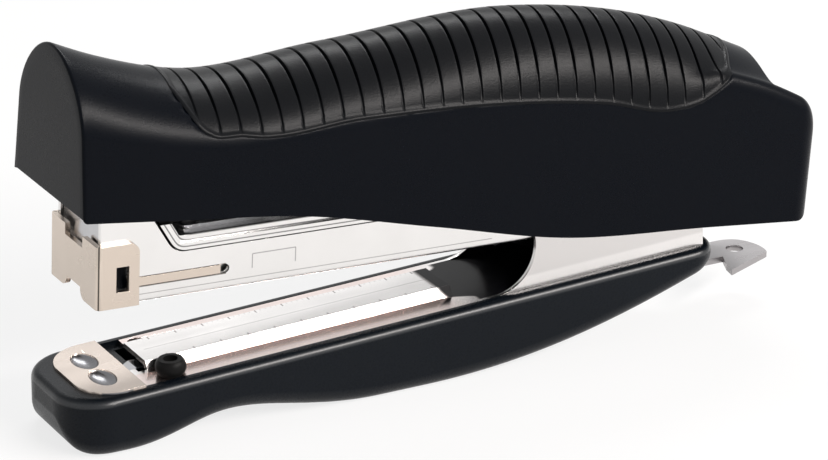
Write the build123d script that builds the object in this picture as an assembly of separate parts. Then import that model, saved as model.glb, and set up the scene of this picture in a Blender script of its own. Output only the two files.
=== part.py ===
from build123d import *
import os
from math import atan, degrees, radians, tan

# Stapler that stands on the flat front of its handle, built as an assembly.
# Millimetres and degrees. X runs from the nose to the rear, Z is up, and the model is
# symmetrical about the XZ plane. At rest the base lies on a table with the jaws open.

# Rest attitude of the three arms
NOSE_LIFT = 22.4        # table to the bottom of the nose
MAGAZINE_TILT = 2.2     # magazine, nose up
BASE_LIFT = 9.1         # table to the base plate, below the nose
BASE_TILT = 2.5         # base plate, rear up
HANDLE_LIFT = 37.85     # table to the lower front corner of the handle
HANDLE_TILT = 7.5       # handle, front up
HANDLE_REACH = 3.4      # handle front ahead of the nose
PRESS_ANGLE = 4.3       # turn of the handle that drives one staple

# Staple, sheet metal and fits
CROWN = 12.9            # outside width of the staple
CROWN_PLAY = 0.1        # staple to magazine wall, each side
LEG_ROOM = 0.65         # magazine wall to staple rail
SHEET = 0.8             # sheet of the magazine, lid, nose and base
NEST_GAP = 0.15         # between the ears that nest on the hinge pin
SEAT_GAP = 0.05         # between pieces that are fixed to each other
RUN_FIT = 0.05          # radial clearance of a hole that turns or slides on a pin
PRESS_FIT = 0.03        # radial clearance drawn round a driven or riveted shank

# Hinge pin
PIN_REACH = 96.8        # nose to pin, along the magazine
PIN_RISE = 6.8          # magazine bottom to pin
PIN_RADIUS = 2.0
PIN_HEAD = 0.75
PIN_HEAD_RADIUS = 3.2
EAR_RADIUS = 4.6

# Magazine, nose and pusher
WALL_HEIGHT = 6.8
TOWER_HEIGHT = 13.2     # high front of the magazine that guides the driver
TOWER_KNEE = 12.0       # height at which the tower has its stated length
TOWER_LENGTH = 9.2
TOWER_SLOPE = 3.2       # run of the slope from the tower to the wall
THROAT = 3.6            # open length of the magazine bottom, where the staple leaves
RAIL_HEIGHT = 6.0
RAIL_END = 62.0
RAIL_SLOT = 1.0
NOSE_HEIGHT = 9.55
NOSE_DEPTH = 6.6
GUIDE_SLOT_END = 21.2
GUIDE_SLOT_RADIUS = 0.7
GUIDE_SLOT_RISE = 3.2
PUSHER_FRONT = 4.0
PUSHER_LENGTH = 10.0
ROD_RADIUS = 0.75
ROD_RISE = 3.3
COIL_RADIUS = 1.45
COIL_WIRE = 0.225
COIL_TURNS = 16

# Lid over the magazine, and the leaf spring on it
LID_HEIGHT = 9.1
LID_STEP = 8.1          # top of the lid's wide lower band
LID_BROW = 11.3         # raised front of the lid
LID_CORNER = 3.0        # lower front corner of the lid
PAD_HEIGHT = 1.4
LEAF = 0.6
LEAF_HALF = 5.0
LEAF_CONTACT = 58.0     # nose to the place where the leaf spring carries the handle

# Base
RIDGE_HEIGHT = 1.6
RIDGE_HALF = 4.5
RIDGE_START = 9.5
RIDGE_END = 60.0
PLATE_START = 7.2
PLATE_BEHIND_PIN = 4.7
CHEEK_NOTCH = 7.0       # radius of the round front of the cheeks
CHEEK_AHEAD = 32.1      # centre of that round ahead of the pin
ANVIL_THICK = 1.6
ANVIL_PROUD = 0.5
ANVIL_FRONT = 1.6       # anvil ahead of the nose
ANVIL_HALF = 9.0
ANVIL_ROUND = 6.0       # front corners of the anvil
BUFFER_X = 12.3
BUFFER_Y = -6.4
BUFFER_RADIUS = 2.3     # widest part of the barrel
BUFFER_FOOT = 1.8       # its radius on the plate
BUFFER_HEIGHT = 2.4
DIMPLE = (1.1, 0.6)     # hollow in its top: radius and depth
SHANK_RADIUS = 1.2
SHOE_FRONT = 5.0        # shoe ahead of the nose
SHOE_BEHIND_PIN = 7.8
SHOE_WALL = 1.8
SHOE_RIM = 0.05         # rim above the base plate
TONGUE = 1.0            # plate of the staple remover
TONGUE_BEND = 6.4       # its first bend ahead of the plate's rear end
RAMP_RUN = 9.5          # sloping part of it, along the base
RAMP_DROP = 6.0         # fall of that part
NECK = (-0.3, 5.2)      # sides of that part, across the base
TONGUE_LENGTH = 13.3    # level tongue behind it
TONGUE_HOLE = (9.3, 1.7, 1.4)  # hole in the tongue: place along and across it, and radius

# Handle
HANDLE_TAIL = 23.4      # hinge pin to the rear end of the handle
HANDLE_WALL = 1.65
HANDLE_PLAY = 0.3       # head of the hinge pin to the handle's wall
FLANK_LEAN = 0.10       # inward lean of the sides, per millimetre of height
FACE_LEAN = 4.5         # front face, top forward
GRIP_THICK = 1.3
BRIDGE_RISE = 9.5       # inner frame above the handle's lower front corner
BRIDGE_FLANGE = 2.5
BLADE = 0.6
BLADE_HALF = 6.3

# Widths that follow from the staple, half of each
case_in = CROWN / 2 + CROWN_PLAY
case_out = case_in + SHEET
rail_out = case_in - LEG_ROOM - SEAT_GAP
rail_in = rail_out - SHEET + 0.1
lid_ear_out = case_in - NEST_GAP
lid_ear_in = lid_ear_out - SHEET
nose_in = case_out + SEAT_GAP
nose_out = nose_in + SHEET
cheek_in = case_out + NEST_GAP
cheek_out = cheek_in + SHEET
bridge_in = cheek_out + NEST_GAP
bridge_out = bridge_in + SHEET
pin_end = bridge_out + NEST_GAP
shoe_out = cheek_out + SEAT_GAP + SHOE_WALL

# Frames of the three arms, and the hinge pin in each of them
magazine_at = Pos(0, 0, NOSE_LIFT) * Rot(0, MAGAZINE_TILT, 0)
base_at = Pos(0, 0, BASE_LIFT) * Rot(0, -BASE_TILT, 0)
handle_at = Pos(-HANDLE_REACH, 0, HANDLE_LIFT) * Rot(0, HANDLE_TILT, 0)
pin_at = Pos((magazine_at * Pos(PIN_REACH, 0, PIN_RISE)).position)
pin_in_base = (base_at.inverse() * pin_at).position
pin_in_handle = (handle_at.inverse() * pin_at).position
handle_length = pin_in_handle.X + HANDLE_TAIL
handle_in = pin_end + PIN_HEAD + HANDLE_PLAY + FLANK_LEAN * (pin_in_handle.Z + PIN_HEAD_RADIUS)
handle_out = handle_in + HANDLE_WALL


def outline(*points):
    """Face on the XZ plane inside a closed line through the points."""
    return Plane.XZ * make_face(Polyline(*points, close=True))


def side_disc(x, z, radius):
    """Round face on the XZ plane."""
    return Plane.XZ * Pos(x, z) * Circle(radius)


def across(face, half):
    """Solid of a side outline, carried across the width to both sides."""
    return extrude(face, half, both=True)


def walls(face, inner, outer):
    """Two upright sheets of one side outline, one on each side."""
    near = extrude(Pos(0, -inner, 0) * face, outer - inner, dir=(0, -1, 0))
    return near + mirror(near, Plane.XZ)


def block(x0, x1, y0, y1, z0, z1):
    """Box between two corners."""
    return Pos((x0 + x1) / 2, (y0 + y1) / 2, (z0 + z1) / 2) * Box(x1 - x0, y1 - y0, z1 - z0)


def cross_bore(x, z, radius):
    """Cylinder along Y, long enough to pass through every ear."""
    return Pos(x, 0, z) * Rot(90, 0, 0) * Cylinder(radius, 4 * handle_out)


def upright(x, y, z0, z1, radius):
    """Cylinder along Z between two heights."""
    return Pos(x, y, (z0 + z1) / 2) * Cylinder(radius, z1 - z0)


def strip(points, thick, half):
    """Leaf of spring sheet along a bent line, thickened downwards."""
    lower = [(x, z - thick) for x, z in reversed(points)]
    return across(outline(*points, *lower), half)


def drilled_pair(make, places):
    """One solid for each place, as a group."""
    return Compound([solid for place in places for solid in make(*place).solids()])


# Base plate with its ridge and the upright cheeks that hold the hinge pin
plate_end = pin_in_base.X + PLATE_BEHIND_PIN
cheek_start = pin_in_base.X - CHEEK_AHEAD
CUT_END = 10.6
CUT_NEAR = 2.2
REMOVER_START = plate_end - 20
LIFT_ROOT = 9.0         # length of the lifting spring that lies on the plate
LIFT_HALF = 4.4
base_rivets = [(REMOVER_START + 4, -2.2), (REMOVER_START + 4, 2.2)]
RIVET_RADIUS = 1.1
RIVET_HEAD = 0.5
RIVET_HEAD_RADIUS = 1.9
SPARE_HOLE = (12.7, 6.4, 1.4)  # empty hole opposite the buffer: place and radius


def make_base_channel():
    plate = block(PLATE_START, plate_end, -cheek_out, cheek_out, -SHEET, 0)
    slope = RIDGE_HEIGHT / 2
    foot = [(-RIDGE_HALF, -SHEET), (-RIDGE_HALF, 0), (-RIDGE_HALF + slope, RIDGE_HEIGHT)]
    section = [*foot, *[(-y, z) for y, z in reversed(foot)]]
    inner = [(y * (1 - SHEET / RIDGE_HALF), z - SHEET) for y, z in section]
    ridge = Pos(RIDGE_START, 0, 0) * extrude(Plane.YZ * make_face(Polyline(*section, close=True)),
                                             RIDGE_END - RIDGE_START)
    tunnel = Pos(RIDGE_START - 1, 0, 0) * extrude(Plane.YZ * make_face(Polyline(*inner, close=True)),
                                                  RIDGE_END - RIDGE_START + 1 - SHEET)
    corner = block(PLATE_START - 1, CUT_END, -CUT_NEAR, cheek_out + 1, -2 * SHEET, SHEET)
    side = outline((cheek_start, -SHEET), (plate_end, -SHEET), (plate_end, SHEET),
                   (pin_in_base.X + EAR_RADIUS, pin_in_base.Z), (pin_in_base.X - 4, pin_in_base.Z + 4),
                   (cheek_start + 5, pin_in_base.Z - 1), (cheek_start, CHEEK_NOTCH + 3))
    ear = side_disc(pin_in_base.X, pin_in_base.Z, EAR_RADIUS + 0.6)
    cheek = walls(side, cheek_in, cheek_out) + walls(ear, cheek_in, cheek_out)
    cheek -= cross_bore(cheek_start, CHEEK_NOTCH, CHEEK_NOTCH)
    channel = plate + ridge - tunnel - corner + cheek
    channel -= cross_bore(pin_in_base.X, pin_in_base.Z, PIN_RADIUS)
    x, y, radius = SPARE_HOLE
    channel -= upright(x, y, -2 * SHEET, SHEET, radius)
    channel -= upright(BUFFER_X, BUFFER_Y, -2 * SHEET, SHEET, SHANK_RADIUS + PRESS_FIT)
    for x, y in base_rivets:
        channel -= upright(x, y, -2 * SHEET, SHEET, RIVET_RADIUS + PRESS_FIT)
    return base_at * channel


# Plastic shoe that wraps the base: a foot in front, an arch, a belly and a rising tail
shoe_end = pin_at.position.X + SHOE_BEHIND_PIN
FOOT = (0.0, 4.0)
ARCH = (18.0, 2.8)
BELLY = (45.0, 53.0)
TAIL_RISE = 3.4         # rear end of the shoe below its rim
SHOE_FRONT_ROUND = 7.0
SHOE_REAR_ROUND = 5.0
SHOE_LOW_ROUND = 2.5
SHOE_TOP_ROUND = 1.3
SHOE_FLOOR = 2.0
SHOE_LEDGE = 1.4


def rim_height(x):
    """Height of the shoe's rim above the table."""
    return BASE_LIFT + x * tan(radians(BASE_TILT)) + SHOE_RIM


def shoe_side(raise_floor, start, end):
    """Side outline of the shoe, or of its hollow when the floor is raised."""
    tail = rim_height(end) - TAIL_RISE + raise_floor
    foot = Line((FOOT[0], 0), (FOOT[1], 0))
    arch = Spline((FOOT[1], 0), ARCH, (BELLY[0], 0), tangents=[(1, 0), (1, 0)])
    belly = Line((BELLY[0], 0), (BELLY[1], 0))
    rise = Spline((BELLY[1], 0), (end, tail - raise_floor), tangents=[(1, 0), (1, 0.36)])
    front = Spline((start, 0.62 * rim_height(start)), (FOOT[0], 0), tangents=[(0.15, -1), (1, 0)])
    top = Polyline((end, tail - raise_floor), (end, rim_height(end)), (start, rim_height(start)),
                   (start, 0.62 * rim_height(start)))
    face = Plane.XZ * make_face([*foot.edges(), *arch.edges(), *belly.edges(), *rise.edges(), *top.edges(),
                                 *front.edges()])
    return Pos(0, 0, raise_floor) * face


def shoe_plan(start, end, half, front_round, rear_round):
    """Plan of the shoe: a long rectangle with round corners."""
    plan = Pos((start + end) / 2, 0, 0) * Rectangle(end - start, 2 * half)
    corners = plan.vertices().sort_by(Axis.X)
    plan = fillet(corners[:2], front_round)
    return fillet(plan.vertices().sort_by(Axis.X)[-2:], rear_round)


def anvil_plan(grow):
    """Plan of the anvil plate: a D with a straight rear edge."""
    back = PLATE_START - SEAT_GAP + min(grow, 0)
    front = -ANVIL_FRONT - grow
    half = ANVIL_HALF + grow
    plan = Pos((front + back) / 2, 0, 0) * Rectangle(back - front, 2 * half)
    return fillet(plan.vertices().sort_by(Axis.X)[:2], ANVIL_ROUND + grow)


def remover_shape(grow):
    """Root of the staple remover below the plate, and the sloping part behind it."""
    bend = plate_end - TONGUE_BEND
    half = 5 + grow
    root = block(REMOVER_START - grow, bend + 0.2, -half, half, -SHEET - TONGUE - grow, -SHEET)
    top = -SHEET + grow
    low = -SHEET - TONGUE - grow
    end = bend + RAMP_RUN + grow
    slope = outline((bend, top), (end, top - RAMP_DROP), (end, low - RAMP_DROP), (bend, low))
    near, far = NECK
    ramp = Pos(0, (near + far) / 2, 0) * across(slope, (far - near) / 2 + grow)
    return root + ramp


def is_lower_edge(edge):
    """True for the long edges between the shoe's sides and its underside."""
    middle = edge.center()
    low = middle.Z < rim_height(middle.X) - 2
    return low and abs(middle.Y) > shoe_out / 2 and abs(edge.tangent_at(0.5).Z) < 0.9


def is_rim_edge(edge):
    """True for the outer edge of the shoe's rim."""
    middle = edge.center()
    return abs(middle.Z - rim_height(middle.X)) < 0.05


def make_base_shoe():
    body = across(shoe_side(0, -SHOE_FRONT, shoe_end), 2 * shoe_out)
    body &= extrude(shoe_plan(-SHOE_FRONT, shoe_end, shoe_out, SHOE_FRONT_ROUND, SHOE_REAR_ROUND), 60)
    body = fillet(body.edges().filter_by(is_lower_edge), SHOE_LOW_ROUND)
    body = fillet(body.edges().filter_by(is_rim_edge), SHOE_TOP_ROUND)
    hollow = across(shoe_side(SHOE_FLOOR, PLATE_START + 2, shoe_end - 5), cheek_out - SHOE_LEDGE)
    seat_half = cheek_out + SEAT_GAP
    seat = block(PLATE_START - SEAT_GAP, plate_end + SEAT_GAP, -seat_half, seat_half, -SHEET, 20)
    nest = Pos(0, 0, ANVIL_PROUD - ANVIL_THICK) * extrude(anvil_plan(SEAT_GAP), 20)
    spring_bed = block(2.0, PLATE_START + 6, -2.0, 2.0, ANVIL_PROUD - ANVIL_THICK - 0.45, 0)
    body = body - hollow - base_at * seat - base_at * nest - base_at * spring_bed
    post = base_at * upright(BUFFER_X, BUFFER_Y, -7, -SHEET, SHANK_RADIUS + 1.2)
    body += post & across(shoe_side(0, -SHOE_FRONT, shoe_end), shoe_out)
    body -= base_at * upright(BUFFER_X, BUFFER_Y, -5 - PRESS_FIT, 0, SHANK_RADIUS + PRESS_FIT)
    body -= base_at * remover_shape(0.15)
    for x, y in base_rivets:
        body -= base_at * upright(x, y, -SHEET - TONGUE - 2, 0, RIVET_HEAD_RADIUS + 0.3)
    return body


# Anvil plate with the two pockets that curl the staple's legs
POCKET_X = 2.9
POCKET_Y = 3.25
POCKET_HALF = (1.85, 3.05)  # half length and half width of each
POCKET_DEPTH = 0.9


def make_anvil_plate():
    plate = Pos(0, 0, ANVIL_PROUD - ANVIL_THICK) * extrude(anvil_plan(0), ANVIL_THICK)
    bowl = scale(Sphere(1), by=(*POCKET_HALF, POCKET_DEPTH))
    for y in (-POCKET_Y, POCKET_Y):
        plate -= Pos(POCKET_X, y, ANVIL_PROUD) * bowl
    return base_at * plate


def make_anvil_spring():
    low = ANVIL_PROUD - ANVIL_THICK
    high = -SHEET + 0.55
    line = [(2.4, low), (PLATE_START, low), (RIDGE_START - 0.5, high), (RIDGE_START + 9, high)]
    return base_at * strip(line, 0.4, 1.5)


def make_base_buffer():
    top = (BUFFER_FOOT, BUFFER_HEIGHT)
    side = ThreePointArc((BUFFER_FOOT, 0), (BUFFER_RADIUS, 0.45 * BUFFER_HEIGHT), top)
    rest = Polyline(top, (0, BUFFER_HEIGHT), (0, 0), (BUFFER_FOOT, 0))
    barrel = revolve(Plane.XZ * make_face([*side.edges(), *rest.edges()]), Axis.Z)
    barrel -= upright(0, 0, BUFFER_HEIGHT - DIMPLE[1], BUFFER_HEIGHT + 1, DIMPLE[0])
    barrel += upright(0, 0, -5, 0, SHANK_RADIUS)
    return base_at * Pos(BUFFER_X, BUFFER_Y, 0) * barrel


def make_staple_remover():
    near, far = NECK
    tip = TONGUE_LENGTH
    round_side = Spline((-0.1, far), (tip - 5.7, far + 0.5), (tip - 1.9, far - 0.3), (tip, 1.8), (tip - 0.1, -1.7))
    barb = Polyline((tip - 0.1, -1.7), (tip - 9.2, -5.6), (tip - 8.8, -3.4), (tip - 7.5, near), (-0.1, near),
                    (-0.1, far))
    tongue = extrude(make_face([*round_side.edges(), *barb.edges()]), -TONGUE)
    along, aside, radius = TONGUE_HOLE
    tongue -= Pos(along, aside, 0) * Cylinder(radius, 6)
    level = Pos(plate_end - TONGUE_BEND + RAMP_RUN, 0, -SHEET - RAMP_DROP) * Rot(0, BASE_TILT, 0)
    shape = remover_shape(0) + level * tongue
    for x, y in base_rivets:
        shape -= upright(x, y, -SHEET - 2 * TONGUE, 0, RIVET_RADIUS + PRESS_FIT)
    return base_at * shape


# Leaf spring that lifts the magazine: its root is riveted to the plate with the remover
def make_lift_spring():
    tip = (base_at.inverse() * magazine_at * Pos(REMOVER_START - 13, 0, -NEST_GAP)).position
    root = REMOVER_START + LIFT_ROOT
    line = [(tip.X - 2, tip.Z - 0.5), (tip.X, tip.Z), (REMOVER_START, LEAF), (root, LEAF)]
    leaf = strip(line, LEAF, LIFT_HALF)
    for x, y in base_rivets:
        leaf -= upright(x, y, -1, 2, RIVET_RADIUS + PRESS_FIT)
    return base_at * leaf


def make_base_rivets():
    def rivet(x, y):
        low = -SHEET - TONGUE
        shank = upright(x, y, low, LEAF, RIVET_RADIUS)
        foot = upright(x, y, low - RIVET_HEAD, low, RIVET_HEAD_RADIUS)
        return base_at * (shank + foot + upright(x, y, LEAF, LEAF + RIVET_HEAD, RIVET_HEAD_RADIUS))
    return drilled_pair(rivet, base_rivets)


def make_hinge_pin():
    pin = Rot(90, 0, 0) * Cylinder(PIN_RADIUS, 2 * pin_end)
    for side in (-1, 1):
        head = Rot(90, 0, 0) * Cylinder(PIN_HEAD_RADIUS, PIN_HEAD)
        pin += Pos(0, side * (pin_end + PIN_HEAD / 2), 0) * head
    return pin_at * pin


# Magazine: a channel with a high front, open at the top
WEB_END = PIN_REACH - 5


def slope_place(height):
    """Distance behind the nose of the slope from the tower to the wall, at a height."""
    share = (height - WALL_HEIGHT) / (TOWER_KNEE - WALL_HEIGHT)
    return TOWER_LENGTH + TOWER_SLOPE * (1 - share)


def with_round_corner(face, x, z, radius):
    """Side outline with the corner at one place rounded."""
    return fillet(face.vertices().sort_by_distance((x, 0, z))[0], radius)


def make_magazine_case():
    top = slope_place(TOWER_HEIGHT)
    side = outline((NOSE_LAP, 0), (WEB_END, 0), (PIN_REACH + 2, PIN_RISE - 4),
                   (PIN_REACH + 3, PIN_RISE + 3), (PIN_REACH - 3, PIN_RISE + 3.4), (PIN_REACH - 14, WALL_HEIGHT),
                   (slope_place(WALL_HEIGHT), WALL_HEIGHT), (top, TOWER_HEIGHT), (NOSE_LAP, TOWER_HEIGHT))
    side = with_round_corner(side, slope_place(WALL_HEIGHT), WALL_HEIGHT, LID_CORNER + NEST_GAP)
    ear = side_disc(PIN_REACH, PIN_RISE, EAR_RADIUS)
    case = walls(side, case_in, case_out) + walls(ear, case_in, case_out)
    case += block(THROAT, WEB_END, -case_out, case_out, 0, SHEET)
    case -= cross_bore(PIN_REACH, PIN_RISE, PIN_RADIUS + RUN_FIT)
    slot = block(GUIDE_SLOT_START, GUIDE_SLOT_END - GUIDE_SLOT_RADIUS, -20, 20,
                 GUIDE_SLOT_RISE - GUIDE_SLOT_RADIUS, GUIDE_SLOT_RISE + GUIDE_SLOT_RADIUS)
    case -= slot + cross_bore(GUIDE_SLOT_END - GUIDE_SLOT_RADIUS, GUIDE_SLOT_RISE, GUIDE_SLOT_RADIUS)
    case -= block(WINDOW[0], WINDOW[1], -20, 20, WINDOW[2], WINDOW[3])
    bends = case.edges().filter_by(Axis.X).filter_by(
        lambda edge: abs(edge.center().Z) < 0.01 and abs(abs(edge.center().Y) - case_out) < 0.01)
    return magazine_at * fillet(bends, 0.6)


# Nose bracket: a folded strip round the front, with a tongue in each slot of the magazine
NOSE_LAP = SHEET + SEAT_GAP
GUIDE_SLOT_START = 5.0
NOTCH_HALF = 3.0
NOTCH_TOP = 1.7
NOTCH_BOTTOM = 1.7
WINDOW = (3.0, 5.0, 2.4, 6.2)
LOBE_ROUND = 1.5        # lower corners of the front
FLANGE_ROUND = 1.5      # upper rear corner of each flange


def make_nose_bracket():
    side = outline((0, 0), (NOSE_DEPTH, 0), (NOSE_DEPTH, NOSE_HEIGHT), (0, NOSE_HEIGHT))
    bracket = across(side, nose_out)
    corner = bracket.edges().filter_by(Axis.Y).sort_by(Axis.X)[-2:].sort_by(Axis.Z)[-1]
    bracket = fillet(corner, FLANGE_ROUND)
    bracket -= block(SHEET, NOSE_DEPTH + 1, -nose_in, nose_in, -1, NOSE_HEIGHT + 1)
    fold = bracket.edges().filter_by(Axis.Z).filter_by(lambda edge: edge.center().X < 0.01)
    bracket = fillet(fold, 0.7)
    bracket -= block(-1, SHEET + 0.3, -NOTCH_HALF, NOTCH_HALF, NOSE_HEIGHT - NOTCH_TOP, NOSE_HEIGHT + 1)
    bracket -= block(-1, SHEET + 0.3, -NOTCH_HALF + 0.6, NOTCH_HALF - 0.6, -1, NOTCH_BOTTOM)
    lobes = bracket.edges().filter_by(Axis.X).filter_by(
        lambda edge: edge.center().Z < 0.01 and abs(edge.center().Y) < NOTCH_HALF)
    bracket = fillet(lobes, LOBE_ROUND)
    bracket -= block(WINDOW[0], WINDOW[1], -20, 20, WINDOW[2], WINDOW[3])
    reach = GUIDE_SLOT_END - 2 * GUIDE_SLOT_RADIUS
    half = GUIDE_SLOT_RADIUS - SEAT_GAP
    tongue = block(GUIDE_SLOT_START + 0.4, reach, -case_out, -case_in - NEST_GAP, GUIDE_SLOT_RISE - half,
                   GUIDE_SLOT_RISE + half)
    root = block(GUIDE_SLOT_START + 0.4, NOSE_DEPTH, -nose_in - SHEET / 2, -case_in - NEST_GAP,
                 GUIDE_SLOT_RISE - half, GUIDE_SLOT_RISE + half)
    near = tongue + root
    return magazine_at * (bracket + near + mirror(near, Plane.XZ))


# Staple rail, and the spring that drives the pusher along it
RAIL_FRONT = 2.7
STOP_LENGTH = 3.0
TAB_X = PUSHER_FRONT + PUSHER_LENGTH - 2.8
TAB_THICK = 1.5


def make_staple_rail():
    rail = block(RAIL_FRONT, RAIL_END, -rail_out, rail_out, SHEET, RAIL_HEIGHT)
    rail -= block(RAIL_FRONT + SHEET, RAIL_END + 1, -rail_in, rail_in, 0, RAIL_HEIGHT - SHEET + 0.1)
    rail -= block(PUSHER_FRONT + 0.6, RAIL_END - STOP_LENGTH - 3, -RAIL_SLOT, RAIL_SLOT, 0, RAIL_HEIGHT + 1)
    return magazine_at * rail


def make_guide_rod():
    length = RAIL_END - STOP_LENGTH / 2 - RAIL_FRONT - SHEET
    rod = Pos(RAIL_FRONT + SHEET + length / 2, 0, ROD_RISE) * Rot(0, 90, 0) * Cylinder(ROD_RADIUS, length)
    return magazine_at * rod


def make_spring_stop():
    top = RAIL_HEIGHT - SHEET + 0.1
    stop = block(RAIL_END - STOP_LENGTH, RAIL_END, -rail_in, rail_in, SHEET, top)
    depth = STOP_LENGTH / 2
    socket = Rot(0, 90, 0) * Cylinder(ROD_RADIUS + PRESS_FIT, depth)
    stop -= Pos(RAIL_END - STOP_LENGTH + depth / 2, 0, ROD_RISE) * socket
    return magazine_at * stop


def make_pusher():
    rear = PUSHER_FRONT + PUSHER_LENGTH
    top = block(PUSHER_FRONT, rear, -case_in + 0.1, case_in - 0.1, RAIL_HEIGHT + 0.1, RAIL_HEIGHT + 0.7)
    legs = block(PUSHER_FRONT, rear, rail_out + 0.1, case_in - 0.1, SHEET + 0.25, RAIL_HEIGHT + 0.2)
    saddle = top + legs + mirror(legs, Plane.XZ)
    neck = block(TAB_X, TAB_X + TAB_THICK, -RAIL_SLOT + 0.15, RAIL_SLOT - 0.15, ROD_RISE, RAIL_HEIGHT + 0.2)
    plate = block(TAB_X, TAB_X + TAB_THICK, -2.4, 2.4, SHEET + 0.6, RAIL_HEIGHT - SHEET - 0.1)
    hole = Pos(TAB_X, 0, ROD_RISE) * Rot(0, 90, 0) * Cylinder(ROD_RADIUS + RUN_FIT, 4 * TAB_THICK)
    return magazine_at * (saddle + neck + plate - hole)


def make_pusher_spring():
    start = TAB_X + TAB_THICK + COIL_WIRE + 0.05
    length = RAIL_END - STOP_LENGTH - 2 * COIL_WIRE - 0.1 - (TAB_X + TAB_THICK)
    path = Helix(length / COIL_TURNS, length, COIL_RADIUS)
    section = Plane(path @ 0, z_dir=path % 0) * Circle(COIL_WIRE)
    coil = sweep(section, path)
    return magazine_at * Pos(start, 0, ROD_RISE) * Rot(0, 90, 0) * coil


# Lid: an inverted channel that closes the magazine and turns on the same pin
LID_REAR = PIN_REACH - 24
LID_WINDOW = (20.0, PIN_REACH - 36, 3.0)  # opening in its top: start, end and half width
LID_NARROW = case_out - 0.45  # half width of its upper band
SLOPE_GAP = 0.45        # lid to the slope of the tower
BROW = 1.8
LEAF_FRONT = 14.6
LEAF_RIVET = 17.2
LEAF_RISE = 27.0        # end of the flat root of the leaf spring
LEAF_CORNER = 1.2


def make_magazine_lid():
    low = WALL_HEIGHT + NEST_GAP
    front_low = slope_place(low) + SLOPE_GAP
    front_high = slope_place(LID_BROW) + SLOPE_GAP
    lap = SHEET * 1.2
    brow_foot = slope_place(LID_HEIGHT) + SLOPE_GAP + BROW
    side = outline((front_low, low), (LID_REAR, low), (LID_REAR, LID_HEIGHT), (brow_foot, LID_HEIGHT),
                   (front_high + BROW, LID_BROW), (front_high, LID_BROW))
    side = with_round_corner(side, front_low, low, LID_CORNER)
    under = outline((front_low + lap, low - 1), (LID_REAR + 1, low - 1), (LID_REAR + 1, LID_HEIGHT - SHEET),
                    (front_low + lap, LID_HEIGHT - SHEET))
    lid = across(side, case_out) - across(under, case_out - SHEET)
    ledge = block(brow_foot, LID_REAR + 1, LID_NARROW, case_out + 1, LID_STEP, LID_BROW)
    lid = lid - ledge - mirror(ledge, Plane.XZ)
    strap = block(LID_REAR - 2, PIN_REACH + 3, -lid_ear_out, lid_ear_out, LID_HEIGHT - SHEET, LID_HEIGHT)
    ears = outline((LID_REAR - 2, LID_HEIGHT), (LID_REAR - 2, LID_HEIGHT - 3.5),
                   (PIN_REACH - 4, PIN_RISE - 2), (PIN_REACH + 3, PIN_RISE - 2),
                   (PIN_REACH + 3, LID_HEIGHT))
    ring = side_disc(PIN_REACH, PIN_RISE, EAR_RADIUS - 0.6)
    lid += strap + walls(ears, lid_ear_in, lid_ear_out) + walls(ring, lid_ear_in, lid_ear_out)
    lid -= cross_bore(PIN_REACH, PIN_RISE, PIN_RADIUS + RUN_FIT)
    start, end, half = LID_WINDOW
    lid -= block(start, end, -half, half, low, LID_HEIGHT + 1)
    lid -= upright(LEAF_RIVET, 0, low, LID_HEIGHT + 1, RIVET_RADIUS + PRESS_FIT)
    return magazine_at * lid


def make_stop_pad():
    pad = block(TOWER_LENGTH + 0.9, TOWER_LENGTH + 4.6, -case_out + 0.5, case_out - 0.5, LID_BROW,
                LID_BROW + PAD_HEIGHT)
    return magazine_at * fillet(pad.edges().filter_by(Axis.Y), 0.4)


# Leaf spring between the lid and the handle
def make_handle_spring():
    under_bridge = Pos(LEAF_CONTACT + HANDLE_REACH, 0, BRIDGE_RISE - NEST_GAP)
    carried = (magazine_at.inverse() * handle_at * under_bridge).position
    low = LID_HEIGHT + LEAF
    line = [(LEAF_FRONT, low), (LEAF_RISE, low), (carried.X, carried.Z), (carried.X + 4, carried.Z - 1.0)]
    leaf = strip(line, LEAF, LEAF_HALF)
    corners = leaf.edges().filter_by(Axis.Z).group_by(Axis.X)[0]
    leaf = fillet(corners, LEAF_CORNER)
    return magazine_at * (leaf - upright(LEAF_RIVET, 0, 0, low + 2, RIVET_RADIUS + PRESS_FIT))


def make_spring_rivet():
    shank = upright(LEAF_RIVET, 0, LID_HEIGHT - SHEET, LID_HEIGHT + LEAF, RIVET_RADIUS)
    head = upright(LEAF_RIVET, 0, LID_HEIGHT + LEAF, LID_HEIGHT + LEAF + RIVET_HEAD, RIVET_HEAD_RADIUS)
    return magazine_at * (shank + head)


# Handle: moulded shell with a saddle behind its flat front, a high crest and a falling tail.
# The top line runs through these points: share of the length from front to rear, and height.
TOP_LINE = [(-0.029, 23.4), (0.048, 20.2), (0.159, 17.8), (0.338, 21.4), (0.58, 26.2), (0.836, 22.5),
            (0.893, 20.3), (0.929, 18.6), (0.956, 16.3), (0.984, 13.2), (1.02, 8.6)]
STATIONS = 30
SHOULDER = 0.52         # share of the height where the sides begin to round over
TAIL_SHOULDER = 0.86    # the same at the tail, where the sides end in an edge
TAIL_CHANGE = (0.79, 0.86)  # shares of the length between which the one becomes the other
LOW_FRONT = -0.5
LOW_REAR = -6.0
HEEL_RISE = 0.5         # rise of the lower edge from the bulge to the rear
BODY_FOOT = -9.0
GRIP_EDGE = [(0.117, 17.0), (0.136, 13.2), (0.198, 11.2), (0.531, 14.5), (0.773, 12.6), (0.846, 16.8),
             (0.915, 22.5)]
FACE_ROUND = 0.6
TAIL_ROUND = 4.5        # rear corners seen from above, at the foot
STEP_AHEAD = 9.2        # end of the roof ahead of the rear end
STEP_RUN = 0.9          # length of the steep step behind the roof
SHELF_HEIGHT = 15.7     # low shelf behind the step, where it begins
SHELF_FALL = 0.42       # its fall per millimetre
SHELF_ROUND = 4.0       # length of its round rear edge
HEEL_ROUND = 2.6        # lower rear corner seen from the side


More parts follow.
